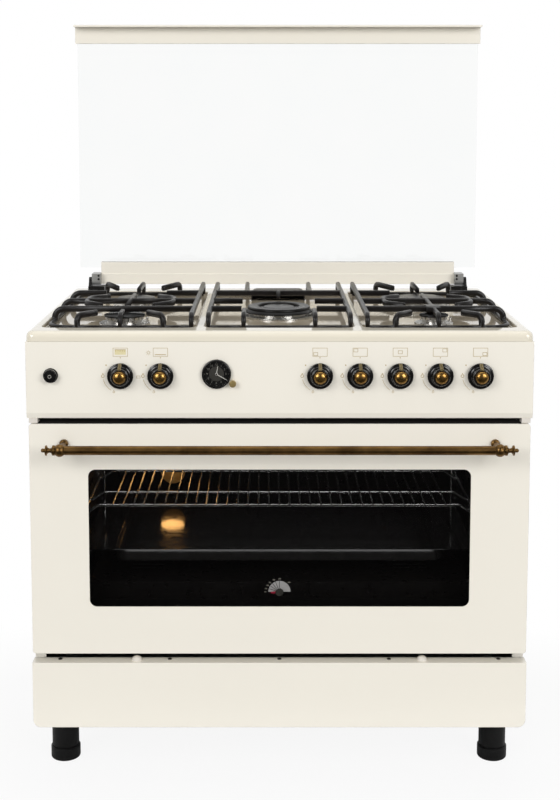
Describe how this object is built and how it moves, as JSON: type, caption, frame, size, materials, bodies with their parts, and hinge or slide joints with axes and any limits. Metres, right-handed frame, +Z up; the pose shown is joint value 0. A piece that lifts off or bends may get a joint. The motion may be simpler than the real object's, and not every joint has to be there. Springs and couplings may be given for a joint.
{
  "type": "gas cooker",
  "caption": "Free-standing gas cooker with burners under bar pan supports, a raised glass lid, a glazed oven with a drop-down door, turned knobs, a clock and a storage drawer.",
  "frame": {"origin": "on the floor, under the middle of the whole outline", "axes": "+Z up, +Y from the front to the back, +X to the right as seen from the front"},
  "size_m": [0.9, 0.6612, 1.421],
  "materials": {
    "enamel_cream": "gloss enamel",
    "hob_enamel": "gloss enamel",
    "galvanised": "zinc-coated sheet",
    "black_enamel": "satin enamel",
    "support_enamel": "semi-matt enamel",
    "burner_aluminium": "satin",
    "oven_enamel": "speckled enamel",
    "mineral_wool": "fibre",
    "chrome_wire": "bright",
    "seal_rubber": "matt",
    "pipe_aluminium": "satin",
    "tap_brass": "machined",
    "bronze": "antique",
    "knob_black": "gloss",
    "clock_black": "gloss",
    "hand_pale": "painted",
    "door_glass": "tinted",
    "lid_glass": "clear",
    "lamp_glass": "clear",
    "dial_silver": "satin",
    "needle_red": "gloss",
    "hinge_grey": "satin",
    "foot_black": "satin"
  },
  "bodies": {
    "cabinet": {"side_panels": "enamel_cream", "control_panel": "enamel_cream", "hob_top": "hob_enamel", "back_panel": "galvanised", "base_pan": "galvanised", "door_hinges": "galvanised", "front_frame": "black_enamel", "burner_caps": "black_enamel", "flue_outlet": "black_enamel", "lid_hinge_bases": "black_enamel", "pan_support_left": "support_enamel", "pan_support_centre": "support_enamel", "pan_support_right": "support_enamel", "burner_bases": "burner_aluminium", "burner_heads": "burner_aluminium", "oven_cavity": "oven_enamel", "oven_floor_plate": "oven_enamel", "baking_tray": "oven_enamel", "oven_insulation": "mineral_wool", "shelf_racks": "chrome_wire", "oven_shelf": "chrome_wire", "door_seal": "seal_rubber", "gas_rail": "pipe_aluminium", "oven_burner": "pipe_aluminium", "grill_burner": "pipe_aluminium", "clock_case": "clock_black", "oven_lamp": "lamp_glass", "feet": "foot_black"},
    "lid": {"lid_glass": "lid_glass", "lid_top_trim": "enamel_cream", "lid_hinge_rail": "enamel_cream", "lid_hinge_arms": "hinge_grey"},
    "door": {"door_panel": "enamel_cream", "door_liner": "black_enamel", "door_glass": "door_glass", "door_hinge_brackets": "galvanised", "handle_bar": "bronze", "handle_ends": "bronze", "thermometer_case": "dial_silver"},
    "needle": {"thermometer_needle": "needle_red"},
    "drawer": {"drawer_front": "enamel_cream", "drawer_box": "galvanised"},
    "button": {"ignition_button": "knob_black"},
    "hour_hand": {"clock_hour_hand": "hand_pale"},
    "minute_hand": {"clock_minute_hand": "hand_pale"},
    "set_knob": {"clock_set_knob": "bronze"},
    "oven_spindle_body": {"oven_spindle": "tap_brass"},
    "oven_knob_body": {"oven_knob": "knob_black"},
    "grill_spindle_body": {"grill_spindle": "tap_brass"},
    "grill_knob_body": {"grill_knob": "knob_black"},
    "burner_spindle_1_body": {"burner_spindle_1": "tap_brass"},
    "burner_knob_1_body": {"burner_knob_1": "knob_black"},
    "burner_spindle_2_body": {"burner_spindle_2": "tap_brass"},
    "burner_knob_2_body": {"burner_knob_2": "knob_black"},
    "burner_spindle_3_body": {"burner_spindle_3": "tap_brass"},
    "burner_knob_3_body": {"burner_knob_3": "knob_black"},
    "burner_spindle_4_body": {"burner_spindle_4": "tap_brass"},
    "burner_knob_4_body": {"burner_knob_4": "knob_black"},
    "burner_spindle_5_body": {"burner_spindle_5": "tap_brass"},
    "burner_knob_5_body": {"burner_knob_5": "knob_black"}
  },
  "joints": [
    {"name": "lid_hinge", "type": "hinge", "parent": "cabinet", "child": "lid", "pos_m": [0, 0.29563, 0.87], "axis": [-1, 0, 0], "range_deg": [-90, 0]},
    {"name": "door_hinge", "type": "hinge", "parent": "cabinet", "child": "door", "pos_m": [0, -0.24938, 0.272], "axis": [1, 0, 0], "range_deg": [0, 90], "stiffness_Nm_per_rad": 8, "springref_deg": -22.92},
    {"name": "needle_turn", "type": "hinge", "parent": "door", "child": "needle", "pos_m": [0, -0.26038, 0.372], "axis": [0, 1, 0], "range_deg": [0, 160], "stiffness_Nm_per_rad": 0.002},
    {"name": "drawer_slide", "type": "slide", "parent": "cabinet", "child": "drawer", "axis": [0, 1, 0], "range_m": [-0.3, 0]},
    {"name": "ignition_push", "type": "slide", "parent": "cabinet", "child": "button", "axis": [0, 1, 0], "range_m": [0, 0.004], "stiffness_N_per_m": 900, "springref_m": -0.003},
    {"name": "clock_set_turn", "type": "hinge", "parent": "cabinet", "child": "set_knob", "pos_m": [-0.083, -0.26937, 0.757], "axis": [0, 1, 0], "continuous": true},
    {"name": "minute_hand_turn", "type": "hinge", "parent": "cabinet", "child": "minute_hand", "pos_m": [-0.112, -0.26937, 0.774], "axis": [0, 1, 0], "continuous": true},
    {"name": "hour_hand_turn", "type": "hinge", "parent": "cabinet", "child": "hour_hand", "pos_m": [-0.112, -0.26937, 0.774], "axis": [0, 1, 0], "continuous": true},
    {"name": "oven_turn", "type": "hinge", "parent": "cabinet", "child": "oven_spindle_body", "pos_m": [-0.211, -0.26937, 0.771], "axis": [0, -1, 0], "range_deg": [0, 155]},
    {"name": "oven_push", "type": "slide", "parent": "oven_spindle_body", "child": "oven_knob_body", "axis": [0, 1, 0], "range_m": [0, 0.0035], "stiffness_N_per_m": 1500, "springref_m": -0.003},
    {"name": "grill_turn", "type": "hinge", "parent": "cabinet", "child": "grill_spindle_body", "pos_m": [-0.282, -0.26937, 0.771], "axis": [0, -1, 0], "range_deg": [-95, 155]},
    {"name": "grill_push", "type": "slide", "parent": "grill_spindle_body", "child": "grill_knob_body", "axis": [0, 1, 0], "range_m": [0, 0.0035], "stiffness_N_per_m": 1500, "springref_m": -0.003},
    {"name": "burner_1_turn", "type": "hinge", "parent": "cabinet", "child": "burner_spindle_1_body", "pos_m": [0.0713, -0.26937, 0.771], "axis": [0, -1, 0], "range_deg": [0, 155]},
    {"name": "burner_1_push", "type": "slide", "parent": "burner_spindle_1_body", "child": "burner_knob_1_body", "axis": [0, 1, 0], "range_m": [0, 0.0035], "stiffness_N_per_m": 1500, "springref_m": -0.003},
    {"name": "burner_2_turn", "type": "hinge", "parent": "cabinet", "child": "burner_spindle_2_body", "pos_m": [0.1423, -0.26937, 0.771], "axis": [0, -1, 0], "range_deg": [0, 155]},
    {"name": "burner_2_push", "type": "slide", "parent": "burner_spindle_2_body", "child": "burner_knob_2_body", "axis": [0, 1, 0], "range_m": [0, 0.0035], "stiffness_N_per_m": 1500, "springref_m": -0.003},
    {"name": "burner_3_turn", "type": "hinge", "parent": "cabinet", "child": "burner_spindle_3_body", "pos_m": [0.2133, -0.26937, 0.771], "axis": [0, -1, 0], "range_deg": [0, 155]},
    {"name": "burner_3_push", "type": "slide", "parent": "burner_spindle_3_body", "child": "burner_knob_3_body", "axis": [0, 1, 0], "range_m": [0, 0.0035], "stiffness_N_per_m": 1500, "springref_m": -0.003},
    {"name": "burner_4_turn", "type": "hinge", "parent": "cabinet", "child": "burner_spindle_4_body", "pos_m": [0.2843, -0.26937, 0.771], "axis": [0, -1, 0], "range_deg": [0, 155]},
    {"name": "burner_4_push", "type": "slide", "parent": "burner_spindle_4_body", "child": "burner_knob_4_body", "axis": [0, 1, 0], "range_m": [0, 0.0035], "stiffness_N_per_m": 1500, "springref_m": -0.003},
    {"name": "burner_5_turn", "type": "hinge", "parent": "cabinet", "child": "burner_spindle_5_body", "pos_m": [0.3553, -0.26937, 0.771], "axis": [0, -1, 0], "range_deg": [0, 155]},
    {"name": "burner_5_push", "type": "slide", "parent": "burner_spindle_5_body", "child": "burner_knob_5_body", "axis": [0, 1, 0], "range_m": [0, 0.0035], "stiffness_N_per_m": 1500, "springref_m": -0.003}
  ],
  "couplings": [
    {"joint": "minute_hand_turn", "follows": "clock_set_turn", "ratio": 1},
    {"joint": "hour_hand_turn", "follows": "clock_set_turn", "ratio": 0.083333}
  ]
}
